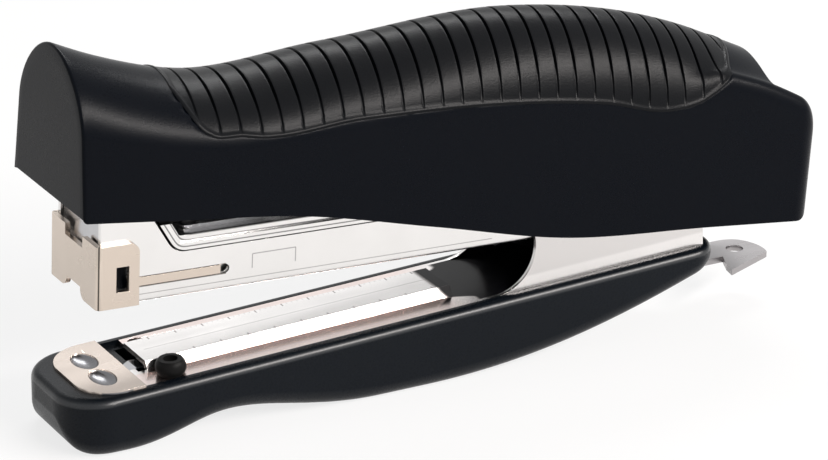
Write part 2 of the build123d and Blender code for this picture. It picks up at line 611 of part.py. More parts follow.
def handle_half(height):
    """Half width of the handle's side at a height above its lower edge."""
    return handle_out - FLANK_LEAN * height


def shoulder_share(station):
    """Share of the height where the sides begin to round over, along the handle."""
    start, end = TAIL_CHANGE
    run = min(max((station / handle_length - start) / (end - start), 0), 1)
    return SHOULDER + (TAIL_SHOULDER - SHOULDER) * run * run * (3 - 2 * run)


def handle_section(station, height, inset, roof):
    """Upright section: leaning sides, and a round top drawn as two curves."""
    side = handle_half(BODY_FOOT) - inset
    top = height - roof
    knee = shoulder_share(station) * top
    half = handle_half(knee) - inset
    bend = 0.5 * (top - knee)
    round_top = [(half, knee), (half - FLANK_LEAN * bend, knee + bend), (0.45 * half, top), (0, top)]
    right = Line((side, BODY_FOOT), (half, knee))
    curve = Bezier(*round_top)
    left_curve = Bezier(*[(-y, z) for y, z in reversed(round_top)])
    left = Line((-half, knee), (-side, BODY_FOOT))
    floor = Line((-side, BODY_FOOT), (side, BODY_FOOT))
    face = make_face([*right.edges(), *curve.edges(), *left_curve.edges(), *left.edges(), *floor.edges()])
    return Pos(station, 0, 0) * (Plane.YZ * face)


def handle_loft(inset, roof, first, last):
    """Long body through even stations of the top line, between two places along the handle."""
    line = Spline(*[(share * handle_length, height) for share, height in TOP_LINE])
    stations = [line @ (i / STATIONS) for i in range(STATIONS + 1)]
    sections = [handle_section(place.X, place.Y, inset, roof) for place in stations]
    return loft(sections) & block(first, last, -50, 50, -50, 50)


def below_handle():
    """What lies below the lower edge: straight in front, then a bulge over the hinge."""
    bulge_start = 0.27 * handle_length
    bulge_end = 0.63 * handle_length
    far = handle_length + 20
    heel = (handle_length - HEEL_ROUND, LOW_REAR + HEEL_RISE)
    heel_end = (handle_length + 0.4, heel[1] + HEEL_ROUND)
    edge = Spline((bulge_start, LOW_FRONT), (bulge_end, LOW_REAR), tangents=[(1, -0.03), (1, 0)])
    low = Line((bulge_end, LOW_REAR), heel)
    round_heel = TangentArc(heel, heel_end, tangent=low % 1)
    rest = Polyline(heel_end, (far, heel_end[1]), (far, -60), (-20, -60), (-20, 0), (0, 0),
                    (bulge_start, LOW_FRONT))
    edges = [*edge.edges(), *low.edges(), *round_heel.edges(), *rest.edges()]
    return across(Plane.XZ * make_face(edges), 60)


def outside_tail():
    """What lies outside the rear end: an upright face with corners that are round seen from above."""
    foot_half = handle_half(BODY_FOOT) + PRESS_FIT
    lean = degrees(atan(FLANK_LEAN))
    plan = Pos(-60, 0, 0) * RectangleRounded(120, 2 * foot_half, TAIL_ROUND)
    inside = Pos(handle_length, 0, BODY_FOOT) * Rot(0, lean, 0) * extrude(plan, 40, taper=lean)
    return block(handle_length - 12, handle_length + 8, -40, 40, BODY_FOOT + 2, 30) - inside


def above_tail():
    """What lies above the tail: a steep step at the end of the roof, a falling shelf and its round edge."""
    step = handle_length - STEP_AHEAD
    far = handle_length + 20
    foot = (step + STEP_RUN, SHELF_HEIGHT)
    shelf_length = STEP_AHEAD - STEP_RUN - SHELF_ROUND
    edge = (foot[0] + shelf_length, SHELF_HEIGHT - SHELF_FALL * shelf_length)
    end = (handle_length + PRESS_FIT, edge[1] - 1.3 * SHELF_ROUND)
    shelf = Line(foot, edge)
    round_edge = TangentArc(edge, end, tangent=shelf % 1)
    rest = Polyline(end, (far, end[1]), (far, 60), (step, 60), (step, SHELF_HEIGHT + 3.3), foot)
    return across(Plane.XZ * make_face([*shelf.edges(), *round_edge.edges(), *rest.edges()]), 60)


def ahead_of_face(back):
    """What lies ahead of the leaning front face, moved back by a wall for the hollow."""
    return Rot(0, -FACE_LEAN, 0) * block(-60, back, -60, 60, -60, 60)


def grip_zone():
    """What lies above the lower edge of the grip, seen from the side."""
    places = [(share * handle_length, height) for share, height in GRIP_EDGE]
    start, bend, low, crest, dip, rise, end = places
    corner = ThreePointArc(start, bend, low)
    long_edge = Spline(low, crest, dip, tangents=[(1, 0), (1, 0)])
    rear_edge = Spline(dip, rise, end, tangents=[(1, 0), (1, 0.4)])
    roof = Polyline(end, (end[0], 60), (start[0], 60), start)
    edges = [*corner.edges(), *long_edge.edges(), *rear_edge.edges(), *roof.edges()]
    return across(Plane.XZ * make_face(edges), 60)


def handle_outside():
    body = handle_loft(0, 0, -60, handle_length + 8)
    body = body - ahead_of_face(0) - outside_tail() - above_tail() - below_handle()
    return fillet(body.faces().sort_by(Axis.X)[0].edges(), FACE_ROUND)


def make_grip_insert(outside):
    core = handle_loft(GRIP_THICK, GRIP_THICK, -60, 500)
    return (outside - core) & grip_zone()


SCREWS = [34.0, 84.0]
BOSS_RADIUS = 3.0
SCREW_RADIUS = 1.2
SCREW_HEAD = 1.2
SCREW_HEAD_RADIUS = 2.3
SCREW_BITE = 5.0


def make_handle_shell(outside, grip):
    roof = HANDLE_WALL + GRIP_THICK
    front = HANDLE_WALL
    hollow = handle_loft(HANDLE_WALL, roof, front, handle_length - 2 * HANDLE_WALL)
    hollow = hollow - ahead_of_face(front) - Pos(-HANDLE_WALL, 0, -HANDLE_WALL) * above_tail()
    shell = outside - hollow - grip
    for u in SCREWS:
        boss = upright(u, 0, BRIDGE_RISE + SHEET, 60, BOSS_RADIUS) & hollow
        shell += boss
        deep = BRIDGE_RISE + SHEET + SCREW_BITE + PRESS_FIT
        shell -= upright(u, 0, BRIDGE_RISE, deep, SCREW_RADIUS + PRESS_FIT)
    return handle_at * shell


# Inner frame of the handle, which carries the driver and turns on the hinge pin
BRIDGE_START = 6.0
BRIDGE_HALF = 7.4
BRIDGE_WIDE = 15.0      # start of the wide rear part, ahead of the pin


def make_handle_bridge():
    u = pin_in_handle.X
    wide = u - BRIDGE_WIDE
    rear = u + EAR_RADIUS + 2
    top = BRIDGE_RISE + SHEET
    bridge = block(BRIDGE_START, wide + 1, -BRIDGE_HALF, BRIDGE_HALF, BRIDGE_RISE - BRIDGE_FLANGE, top)
    bridge -= block(BRIDGE_START - 1, wide + 2, -BRIDGE_HALF + SHEET, BRIDGE_HALF - SHEET, 0, BRIDGE_RISE)
    bridge += block(wide, rear, -bridge_out, bridge_out, BRIDGE_RISE, top)
    ears = outline((wide, top), (wide, BRIDGE_RISE - 2), (u - EAR_RADIUS, pin_in_handle.Z - 2),
                   (u + EAR_RADIUS, pin_in_handle.Z), (rear, top))
    ring = side_disc(u, pin_in_handle.Z, EAR_RADIUS)
    bridge += walls(ears, bridge_in, bridge_out) + walls(ring, bridge_in, bridge_out)
    bridge -= cross_bore(u, pin_in_handle.Z, PIN_RADIUS + RUN_FIT)
    for x in SCREWS:
        bridge -= upright(x, 0, 0, 60, SCREW_RADIUS + PRESS_FIT)
    for x, y in blade_rivets:
        bridge -= upright(x, y, 0, 60, RIVET_RADIUS + PRESS_FIT)
    return handle_at * bridge


# Driver blade: upright in the nose when the handle is pressed, leaning back at rest
blade_rivets = [(13.0, -3.6), (13.0, 3.6)]
BLADE_FRONT = 1.25
BLADE_TIP = 0.45
LEG_END = 17.0


def make_driver_blade():
    pressed = block(BLADE_FRONT, BLADE_FRONT + BLADE, -BLADE_HALF, BLADE_HALF, BLADE_TIP, 40)
    turn = Pos(PIN_REACH, 0, PIN_RISE) * Rot(0, PRESS_ANGLE, 0) * Pos(-PIN_REACH, 0, -PIN_RISE)
    blade = handle_at.inverse() * magazine_at * turn * pressed
    blade &= block(-50, 50, -20, 20, -60, BRIDGE_RISE)
    leg_start = blade.faces().sort_by(Axis.Z)[-1].bounding_box().min.X
    leg = block(leg_start, LEG_END, -BLADE_HALF, BLADE_HALF, BRIDGE_RISE - BLADE, BRIDGE_RISE)
    blade += leg
    for x, y in blade_rivets:
        blade -= upright(x, y, 0, 60, RIVET_RADIUS + PRESS_FIT)
    return handle_at * blade


def make_blade_rivets():
    def rivet(x, y):
        low = BRIDGE_RISE - BLADE
        high = BRIDGE_RISE + SHEET
        shank = upright(x, y, low, high, RIVET_RADIUS)
        foot = upright(x, y, low - RIVET_HEAD, low, RIVET_HEAD_RADIUS)
        return handle_at * (shank + foot + upright(x, y, high, high + RIVET_HEAD, RIVET_HEAD_RADIUS))
    return drilled_pair(rivet, blade_rivets)


def make_frame_screws():
    def screw(u, y):
        shank = upright(u, y, BRIDGE_RISE, BRIDGE_RISE + SHEET + SCREW_BITE, SCREW_RADIUS)
        return handle_at * (shank + upright(u, y, BRIDGE_RISE - SCREW_HEAD, BRIDGE_RISE, SCREW_HEAD_RADIUS))
    return drilled_pair(screw, [(u, 0) for u in SCREWS])


outside = handle_outside()
grip = make_grip_insert(outside)

pieces = {
    "base_channel": make_base_channel(),
    "base_shoe": make_base_shoe(),
    "anvil_plate": make_anvil_plate(),
    "anvil_spring": make_anvil_spring(),
    "base_buffer": make_base_buffer(),
    "staple_remover": make_staple_remover(),
    "base_rivets": make_base_rivets(),
    "lift_spring": make_lift_spring(),
    "hinge_pin": make_hinge_pin(),
    "magazine_case": make_magazine_case(),
    "nose_bracket": make_nose_bracket(),
    "staple_rail": make_staple_rail(),
    "guide_rod": make_guide_rod(),
    "spring_stop": make_spring_stop(),
    "pusher": make_pusher(),
    "pusher_spring": make_pusher_spring(),
    "magazine_lid": make_magazine_lid(),
    "stop_pad": make_stop_pad(),
    "handle_spring": make_handle_spring(),
    "spring_rivet": make_spring_rivet(),
    "handle_shell": make_handle_shell(outside, grip),
    "grip_insert": handle_at * grip,
    "handle_bridge": make_handle_bridge(),
    "driver_blade": make_driver_blade(),
    "blade_rivets": make_blade_rivets(),
    "frame_screws": make_frame_screws(),
}

# The origin is on the table, below the middle of the whole object
box = Compound([solid for piece in pieces.values() for solid in piece.solids()]).bounding_box()
to_origin = Pos(-box.center().X, 0, -box.min.Z)

os.makedirs("parts", exist_ok=True)
for name, piece in pieces.items():
    export_step(to_origin * piece, f"parts/{name}.step")
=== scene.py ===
import math

import bpy
import numpy as np
from mathutils import Matrix, Vector


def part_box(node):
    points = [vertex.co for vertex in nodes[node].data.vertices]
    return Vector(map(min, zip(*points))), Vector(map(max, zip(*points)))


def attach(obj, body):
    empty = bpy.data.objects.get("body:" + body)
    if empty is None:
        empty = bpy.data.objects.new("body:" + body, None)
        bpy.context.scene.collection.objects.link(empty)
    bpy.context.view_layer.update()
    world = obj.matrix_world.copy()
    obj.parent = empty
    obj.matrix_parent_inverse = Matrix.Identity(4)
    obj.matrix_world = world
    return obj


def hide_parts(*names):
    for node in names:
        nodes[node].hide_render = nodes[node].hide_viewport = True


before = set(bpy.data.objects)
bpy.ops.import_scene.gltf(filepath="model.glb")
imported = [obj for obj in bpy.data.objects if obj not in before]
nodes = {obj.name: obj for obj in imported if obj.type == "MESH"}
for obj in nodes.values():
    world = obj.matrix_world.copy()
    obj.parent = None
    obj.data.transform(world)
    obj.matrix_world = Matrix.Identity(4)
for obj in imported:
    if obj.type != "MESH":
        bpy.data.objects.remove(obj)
bpy.context.view_layer.update()


# Base plate
# A pressed steel plate with a hollow ridge along its middle and two upright cheeks that hold the hinge pin.
# It is bright rolled sheet, with a scale marked along the edges of the ridge; between the cheeks it is
# covered by painted shade in black.
# Sizes are millimetres along the plate from its front, across from its middle and above its flat.
MM = 0.001
PIN = sum(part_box("hinge_pin"), Vector()) / 2 / MM
BASE_TILT = math.radians(-2.5)
CHEEK_INSIDE = 7.45
CHEEK_FOOT = (1.8, 2.4)  # a pair is where a soft change begins and where it ends
STRIP_SIDE = (4.0, 4.4)  # across, where the satin strip begins beside the ridge
STRIP_TOP = (0.8, 1.4)  # above, where it ends on the ridge's flank
STRIP_END = (56.0, 64.0)  # along, where it fades out
SCALE_ALONG = (11.0, 59.0)
LONG_TICKS = {"pitch": 4.4, "half": 0.11, "place": 3.25, "reach": 0.42}
FINE_TICKS = {"pitch": 0.88, "half": 0.07, "place": 3.45, "reach": 0.22}
FINE_STRENGTH = 0.35  # strength of the fine ticks beside that of the long ones
MIDDLE_LINE_HALF = 0.09
SHADE_START = (57.2, 58.2)  # along, where the painted black shade begins on the ridge
SHADE_SIDE = (3.4, 6.6)  # across, where its edge goes back to the strips
SHADE_SET_BACK = 5.0  # how far it goes back
SHADE_OVERLAP = 0.2  # how far it reaches on to the cheeks
PAINTED_SHADE_BLACK = (0.004, 0.004, 0.005)
# painted shade: the upright cheeks are made darker than the flat sheet
CHEEK_SHADE_GREY = (0.68, 0.66, 0.65)
SATIN = (0.82, 0.71, 0.68)
SCALE_INK = (0.22, 0.20, 0.19)
MIDDLE_GREY = (0.40, 0.38, 0.37)
CLOUDY_SHEET = 0.10  # how much the roughness changes in clouds
SHEET_RELIEF = 0.006
RELIEF_IN_LINES = 0.7  # share of the relief that is rolling lines, the rest being specks
JOINED_WITHIN = 0.002  # points closer than this are one before the edges are broken
BROKEN_FROM = math.radians(35)  # edges that turn by more than this are broken


def from_pin(along, up):
    """Origin of a body's own axes in the frame's X and Z, given from the middle of the hinge pin."""
    return PIN.x + along, PIN.z + up


BASE_AT = from_pin(-96.990, -16.379)


class Value:
    """A shader socket that works in sums: each operator adds one Math node."""

    def __init__(self, owner, socket):
        self.owner = owner
        self.socket = socket

    def math(self, operation, *terms):
        """Result of a Math node on its terms, which are values or numbers."""
        return self.owner.node("Math", {"operation": operation}, dict(enumerate(terms)))

    def __add__(self, other):
        return self.math("ADD", self, other)

    def __radd__(self, other):
        return self.math("ADD", other, self)

    def __sub__(self, other):
        return self.math("SUBTRACT", self, other)

    def __rsub__(self, other):
        return self.math("SUBTRACT", other, self)

    def __mul__(self, other):
        return self.math("MULTIPLY", self, other)

    def __rmul__(self, other):
        return self.math("MULTIPLY", other, self)

    def size(self):
        """The value without its sign."""
        return self.math("ABSOLUTE", self)

    def below(self, limit):
        """1 under the limit, 0 elsewhere."""
        return self.math("LESS_THAN", self, limit)

    def within(self, centre, half):
        """1 no further than half from the centre, 0 elsewhere."""
        return self.math("COMPARE", self, centre, half)

    def between(self, low, high):
        """1 from low to high, 0 elsewhere."""
        return self.within((low + high) / 2, (high - low) / 2)

    def every(self, pitch):
        """Distance from the nearest mark of a row of marks."""
        return self.math("PINGPONG", self, pitch / 2)

    def lesser(self, other, blend):
        """The smaller of two values, with a soft change from one to the other."""
        return self.math("SMOOTH_MIN", self, other, blend)

    def ramp(self, low, high):
        """0 below low, 1 above high, a smooth S between."""
        inputs = {"Value": self, "From Min": low, "From Max": high}
        return self.owner.node("MapRange", {"interpolation_type": "SMOOTHSTEP"}, inputs)


class Nodes:
    """A tree of shader nodes, with one method that adds every node."""

    def __init__(self, tree):
        self.tree = tree

    def feed(self, node, inputs):
        """Give each named or numbered socket of a node its link or its plain value."""
        for key, value in inputs.items():
            if isinstance(value, Value):
                self.tree.links.new(value.socket, node.inputs[key])
            else:
                node.inputs[key].default_value = value

    def node(self, kind, settings=None, inputs=None, output=0):
        """Add a node, set it up, feed its sockets, and give one of its outputs."""
        node = self.tree.nodes.new("ShaderNode" + kind)
        for key, value in (settings or {}).items():
            setattr(node, key, value)
        self.feed(node, inputs or {})
        return Value(self, node.outputs[output])


class Finish(Nodes):
    """A material: the nodes round its Principled shader."""

    def __init__(self, name, **values):
        self.material = bpy.data.materials.new(name)
        self.material.use_nodes = True
        super().__init__(self.material.node_tree)
        self.shader = self.tree.nodes["Principled BSDF"]
        self.shade(**values)

    def shade(self, **values):
        """Feed the shader's sockets, whose names have an underscore for each space."""
        self.feed(self.shader, {name.replace("_", " "): value for name, value in values.items()})

    def noise(self, scale, detail, stretch=(1, 1, 1)):
        """Soft noise on the piece, scale in lumps per metre, drawn out by the stretch."""
        place = self.node("TexCoord", output="Object")
        place = self.node("Mapping", inputs={"Vector": place, "Scale": stretch})
        return self.node("TexNoise", inputs={"Vector": place, "Scale": scale, "Detail": detail})

    def own_axes(self, origin, tilt):
        """Place along, across and above a tilted body, in millimetres from its origin."""
        place = self.node("TexCoord", output="Object")
        inputs = {"Vector": place, "Location": (origin[0] * MM, 0, origin[1] * MM),
                  "Rotation": (0, tilt, 0), "Scale": (MM, MM, MM)}
        turned = self.node("Mapping", {"vector_type": "TEXTURE"}, inputs)
        split = self.node("SeparateXYZ", inputs={"Vector": turned})
        return [Value(self, socket) for socket in split.socket.node.outputs]

    def blend(self, share, first, second):
        """Colour between two colours, by a share from 0 to 1. A Mix node takes its colours in sockets 6
        and 7, and gives the mixed one in socket 2."""
        inputs = {"Factor": share}
        for place, colour in ((6, first), (7, second)):
            inputs[place] = colour if isinstance(colour, Value) else (*colour, 1)
        return self.node("Mix", {"data_type": "RGBA"}, inputs, output=2)

    def relief(self, height, depth):
        """Small relief of the surface, depth in millimetres."""
        inputs = {"Height": height, "Strength": 1.0, "Distance": depth * MM}
        self.shade(Normal=self.node("Bump", inputs=inputs))


def metal(name, light, dark, roughness, lines, marks=None, black=None):
    """Plated or polished sheet: rolling lines along X, cloudy gloss, and a very shallow relief. The marks
    are rows of a mask, a strength and a colour, laid over the sheet one after the other. Where black gives
    1, the sheet is covered by a dull black that paints shade."""
    finish = Finish(name, Metallic=1.0, Specular_IOR_Level=0.1)
    cloud = finish.noise(scale=160, detail=3.0)
    rolled = finish.noise(scale=420, detail=4.0, stretch=(0.06, 1.0, 1.0))
    speck = finish.noise(scale=5200, detail=2.0)
    colour = finish.blend(cloud, light, dark)
    for mask, strength, mark in marks(finish) if marks else []:
        colour = finish.blend(mask * strength, colour, mark)
    if black:
        # painted shade: where black gives 1 the sheet is covered in dull black
        cover = black(finish)
        colour = finish.blend(cover, colour, PAINTED_SHADE_BLACK)
        finish.shade(Metallic=1.0 - cover)
    finish.shade(Base_Color=colour)
    finish.shade(Roughness=roughness + (cloud - 0.5) * CLOUDY_SHEET + (rolled - 0.5) * lines)
    finish.relief(rolled * RELIEF_IN_LINES + speck * (1 - RELIEF_IN_LINES), SHEET_RELIEF)
    return finish.material


def ticks(along, side, pitch, half, place, reach):
    """A row of short marks at a place across the plate, with half their width and half their length."""
    return along.every(pitch).within(0, half) * side.within(place, reach)


def plate_marks(finish):
    """Cheeks painted greyer as shade, satin strips beside the ridge, a scale on the ridge and a line along
    its middle.
    """
    along, across, above = finish.own_axes(BASE_AT, BASE_TILT)
    side = across.size()
    cheek_shade = above.ramp(*CHEEK_FOOT)
    strip = side.ramp(*STRIP_SIDE) * (1.0 - above.ramp(*STRIP_TOP)) * (1.0 - along.ramp(*STRIP_END))
    on_ridge = along.between(*SCALE_ALONG)
    fine = ticks(along, side, **FINE_TICKS) * FINE_STRENGTH
    scale = (ticks(along, side, **LONG_TICKS) + fine) * on_ridge
    middle = side.within(0, MIDDLE_LINE_HALF) * on_ridge
    return [(cheek_shade, 1.0, CHEEK_SHADE_GREY), (strip, 1.0, SATIN),
            (scale, 0.7, SCALE_INK), (middle, 0.6, MIDDLE_GREY)]


def plate_painted_shade(finish):
    """Painted shade: black between the cheeks, whose front edge is set back along the strips."""
    along, across, _ = finish.own_axes(BASE_AT, BASE_TILT)
    side = across.size()
    behind = along - SHADE_SET_BACK * side.ramp(*SHADE_SIDE)
    return behind.ramp(*SHADE_START) * side.below(CHEEK_INSIDE + SHADE_OVERLAP)


def dress(name, material, edge):
    """Give a CAD node its finish, with its sharp edges broken by a bevel of the edge's width, if any."""
    piece = nodes[name]
    piece.data.materials.clear()
    piece.data.materials.append(material)
    if edge:
        weld = piece.modifiers.new("joined", "WELD")
        weld.merge_threshold = JOINED_WITHIN * MM
        bevel = piece.modifiers.new("broken edges", "BEVEL")
        bevel.width = edge * MM
        bevel.segments = 2
        bevel.limit_method = "ANGLE"
        bevel.angle_limit = BROKEN_FROM
        bevel.harden_normals = True


plate_steel = metal("bright base plate", light=(0.83, 0.81, 0.80), dark=(0.77, 0.75, 0.74),
                    roughness=0.22, lines=0.10, marks=plate_marks, black=plate_painted_shade)
dress("base_channel", plate_steel, edge=0.15)


# Shoe of the base
# A black moulded tray that wraps the plate: a foot in front, an arch, a belly and a rising tail.
# Satin plastic with a fine eroded grain, and round edges that the hand has polished.
CLOUDY_PLASTIC = 0.08  # how much the roughness changes in clouds
PITTED_PLASTIC = 0.12  # and from pit to pit
DUST_SHARE = 0.6  # share of fine dust in the worn patches, the rest being clouds
WORN_SHARE = 0.8  # a worn patch has this share of the colour
WORN_GREY = 0.001  # and this much grey
POLISH_ROUGHNESS = 0.36
POLISHED_FROM = (0.05, 0.22)  # upward part of the face's direction, where the polish begins
POLISHED_TO = (0.5, 0.85)  # and where it ends
FACING_UP = (-0.05, 0.05)
POLISH_BELOW = 0.22  # share of the polish on edges that face down


def black_moulding(name, colour, roughness, grain, shine=0.07, polish=0.0):
    """Moulded black plastic: nearly even colour, cloudy gloss and a fine eroded grain. The polish is the
    weight of a glossier coat on round edges that face partly up, and less of it on those that face down."""
    finish = Finish(name, Specular_IOR_Level=shine, Coat_Roughness=POLISH_ROUGHNESS)
    cloud = finish.noise(scale=90, detail=3.0)
    pits = finish.noise(scale=3600, detail=3.0)
    dust = finish.noise(scale=900, detail=5.0)
    worn = [WORN_SHARE * channel + WORN_GREY for channel in colour]
    patches = dust * DUST_SHARE + cloud * (1 - DUST_SHARE)
    finish.shade(Base_Color=finish.blend(patches, colour, worn))
    finish.shade(Roughness=roughness + (cloud - 0.5) * CLOUDY_PLASTIC + (pits - 0.5) * PITTED_PLASTIC)
    finish.relief(pits, grain)
    if polish:
        facing = finish.node("TexCoord", output="Normal")
        rise = finish.node("SeparateXYZ", inputs={"Vector": facing}, output="Z")
        edge = rise.size().ramp(*POLISHED_FROM) * (1.0 - rise.size().ramp(*POLISHED_TO))
        upper = POLISH_BELOW + (1 - POLISH_BELOW) * rise.ramp(*FACING_UP)
        finish.shade(Coat_Weight=polish * edge * upper)
    return finish.material


shoe_plastic = black_moulding("black shoe moulding", colour=(0.0032, 0.0050, 0.0078),
                              roughness=0.28, grain=0.012, shine=0.13, polish=0.8)
dress("base_shoe", shoe_plastic, edge=0)


# Anvil and its spring
# A nickel plated plate with two pockets that curl the legs of the staple, carried on a flat spring.
# The pockets are grey, partly rubbed by the staples and partly painted shade of their hollows.
POCKET_RISE = (0.20, 0.44)  # above, from the grey of the pockets to the bright top
POCKETS_AT = 2.9
POCKETS_REACH = 2.2
# grey of the pockets: partly wear, partly painted shade of the hollows
POCKET_WEAR_AND_SHADE = (0.19, 0.19, 0.20)


def pocket_marks(finish):
    """Grey in the pockets, which lie below the top of the plate: partly wear and partly painted shade."""
    along, _, above = finish.own_axes(BASE_AT, BASE_TILT)
    pocket = (1.0 - above.ramp(*POCKET_RISE)) * along.within(POCKETS_AT, POCKETS_REACH)
    return [(pocket, 1.0, POCKET_WEAR_AND_SHADE)]


nickel = metal("warm nickel plate", light=(0.64, 0.56, 0.50), dark=(0.56, 0.49, 0.44),
               roughness=0.26, lines=0.06, marks=pocket_marks)
spring_steel = metal("bright spring steel", light=(0.62, 0.62, 0.63), dark=(0.50, 0.50, 0.52),
                     roughness=0.24, lines=0.12)
dress("anvil_plate", nickel, edge=0.15)
dress("anvil_spring", spring_steel, edge=0.08)


# Buffer
# A soft plug on which the magazine stops when it is pressed down.
# It is matt black rubber, moulded and pushed into a hole of the base plate.
rubber = black_moulding("matt black rubber", colour=(0.007, 0.007, 0.007), roughness=0.42, grain=0.012)
dress("base_buffer", rubber, edge=0)


# Staple remover
# A barbed tongue that reaches under a staple to pull it out.
# It is cut from plain steel strip and riveted under the rear of the base plate.
plain_steel = metal("plain cut steel", light=(0.43, 0.41, 0.415), dark=(0.34, 0.33, 0.335),
                    roughness=0.30, lines=0.15)
dress("staple_remover", plain_steel, edge=0.12)


# Rivets, lifting spring and hinge pin
# Two turned rivets and the headed pin on which magazine, lid and handle turn, all of zinc plated steel.
# The spring that lifts the magazine is a bent leaf of blued steel, held to the plate by the rivets.
plated_steel = metal("zinc plated steel", light=(0.70, 0.70, 0.69), dark=(0.58, 0.58, 0.58),
                     roughness=0.30, lines=0.05)
blued_steel = metal("blued spring steel", light=(0.020, 0.020, 0.024), dark=(0.012, 0.012, 0.014),
                    roughness=0.35, lines=0.10)
dress("base_rivets", plated_steel, edge=0.15)
dress("lift_spring", blued_steel, edge=0.08)
dress("hinge_pin", plated_steel, edge=0.2)


# Magazine
# A channel folded from bright steel sheet, with a high front and guide slots in its walls. Inside it are
# the rail that carries the staples and the guide rod, both of plated steel.
# Sizes are millimetres along the magazine from its front, across from its middle and above its underside.
MAGAZINE_AT = from_pin(-96.990, -3.079)
MAGAZINE_TILT = math.radians(2.2)
WALL_AT = 7.35  # outside of the walls, across
WALL_HALF = 0.12
STAPLE_SIGN = {"start": 24.9, "end": 31.9, "low": 2.6, "high": 4.8, "half": 0.09}
FOLD_RISE = 1.25
FOLD_HALF = 0.07
FOLD_ALONG = (7.0, 65.0)
SLOT_ALONG = (5.0, 20.7)
SLOT_LOW_EDGE = (2.5, 0.16)  # middle and half width of the painted shade line along the lower edge
SLOT_HIGH_EDGE = (3.9, 0.10)  # and along the upper one
SIGN_GREY = (0.28, 0.27, 0.27)
FOLD_GREY = (0.22, 0.21, 0.21)
# painted shade along the edges of the slots
SLOT_SHADE = (0.10, 0.085, 0.07)


def staple_sign(along, above, start, end, low, high, half):
    """A staple drawn in thin lines: the crown along the top, and a leg down from each of its ends."""
    crown = along.between(start, end) * above.within(high, half)
    legs = along.within(start, half) + along.within(end, half)
    return crown + legs * above.between(low, high)


def magazine_marks(finish):
    """A small staple drawn on the walls, a thin grey line above the lower fold, and painted shade along the
    edges of the slots."""
    along, across, above = finish.own_axes(MAGAZINE_AT, MAGAZINE_TILT)
    wall = across.size().within(WALL_AT, WALL_HALF)
    sign = staple_sign(along, above, **STAPLE_SIGN)
    fold = above.within(FOLD_RISE, FOLD_HALF) * along.between(*FOLD_ALONG)
    slot_shade = (above.within(*SLOT_LOW_EDGE) + above.within(*SLOT_HIGH_EDGE)) * along.between(*SLOT_ALONG)
    return [(sign * wall, 0.7, SIGN_GREY), (fold * wall, 0.6, FOLD_GREY), (slot_shade * wall, 0.85, SLOT_SHADE)]


bright_steel = metal("bright rolled steel", light=(0.84, 0.83, 0.82), dark=(0.77, 0.76, 0.75),
                     roughness=0.20, lines=0.10, marks=magazine_marks)
dress("magazine_case", bright_steel, edge=0.12)
dress("staple_rail", plated_steel, edge=0.1)
dress("guide_rod", plated_steel, edge=0.1)


# Pusher, end block and pusher spring
# The pusher slides along the guide rod behind the staples, and the end block holds the rod: both are black
# mouldings. The spring between them is wound from bright wire.
black_plastic = black_moulding("black satin moulding", colour=(0.0005, 0.0013, 0.0034),
                               roughness=0.29, grain=0.012)
dress("pusher", black_plastic, edge=0.12)
dress("spring_stop", black_plastic, edge=0.12)
dress("pusher_spring", spring_steel, edge=0)


# Nose bracket
# A nickel plated steel strip, folded round the front of the magazine.
# A dark line along each of its upright folds is a painted dark reflection of the bend.
NOSE_HALF = 8.2  # half the width over both folds
BEND_LINE_AT = 0.18
BEND_LINE_HALF = 0.17
BEND_LINE_ALONG = (-0.10, 0.80)
# painted dark reflection along each upright bend
BEND_REFLECTION_DARK = (0.05, 0.045, 0.04)


def bend_reflection_marks(finish):
    """A narrow painted dark reflection along the middle of each upright fold."""
    along, across, _ = finish.own_axes(MAGAZINE_AT, MAGAZINE_TILT)
    fold = (along + across.size() - NOSE_HALF).within(BEND_LINE_AT, BEND_LINE_HALF) * along.between(*BEND_LINE_ALONG)
    return [(fold, 0.9, BEND_REFLECTION_DARK)]


nose_nickel = metal("folded nickel plate", light=(0.70, 0.61, 0.53), dark=(0.63, 0.545, 0.47),
                    roughness=0.26, lines=0.06, marks=bend_reflection_marks)
dress("nose_bracket", nose_nickel, edge=0.12)


# Lid, stop pad and leaf spring
# The lid is an inverted channel of bright pressed sheet that swings on the hinge pin, with a black rubber
# pad on its front. A leaf of spring steel, held to it by one rivet, raises the handle.
LID_CORNER = (12.76, 6.95)  # lower front corner of the walls, along and above
LID_SLOPE = math.radians(58.4)  # rise of the front edge
LID_SIDE = (6.2, 6.5)  # across, from the roof to the walls
STEP_LINES = (0.55, 1.35, 2.1)  # distances from the edges
STEP_LINE_HALF = 0.10
STEP_LINE_TURN = 1.6  # how softly the lines turn at the corner
# painted shade of the pressed steps on the walls
STEP_SHADE_GREY = (0.10, 0.10, 0.10)


def lid_marks(finish):
    """Painted shade lines of pressed steps, which run beside the lower edge and turn up beside the sloping
    front edge.
    """
    along, across, above = finish.own_axes(MAGAZINE_AT, MAGAZINE_TILT)
    rise = above - LID_CORNER[1]
    from_front = (along - LID_CORNER[0]) * math.sin(LID_SLOPE) + rise * math.cos(LID_SLOPE)
    inside = rise.lesser(from_front, STEP_LINE_TURN)
    wall = across.size().ramp(*LID_SIDE)
    return [(inside.within(place, STEP_LINE_HALF) * wall, 0.75, STEP_SHADE_GREY) for place in STEP_LINES]


lid_steel = metal("bright pressed steel", light=(0.84, 0.83, 0.82), dark=(0.77, 0.76, 0.75),
                  roughness=0.20, lines=0.10, marks=lid_marks)
dress("magazine_lid", lid_steel, edge=0.12)
dress("stop_pad", rubber, edge=0)
dress("handle_spring", spring_steel, edge=0.1)
dress("spring_rivet", plated_steel, edge=0.15)


# Inner frame of the handle
# A bridge of plated steel whose ears turn on the hinge pin, held in the shell by two screws.
# The driver blade, a strip of spring steel that pushes the staple out, is riveted to it.
dress("handle_bridge", plated_steel, edge=0.12)
dress("driver_blade", spring_steel, edge=0.08)
dress("blade_rivets", plated_steel, edge=0.15)
dress("frame_screws", plated_steel, edge=0.15)


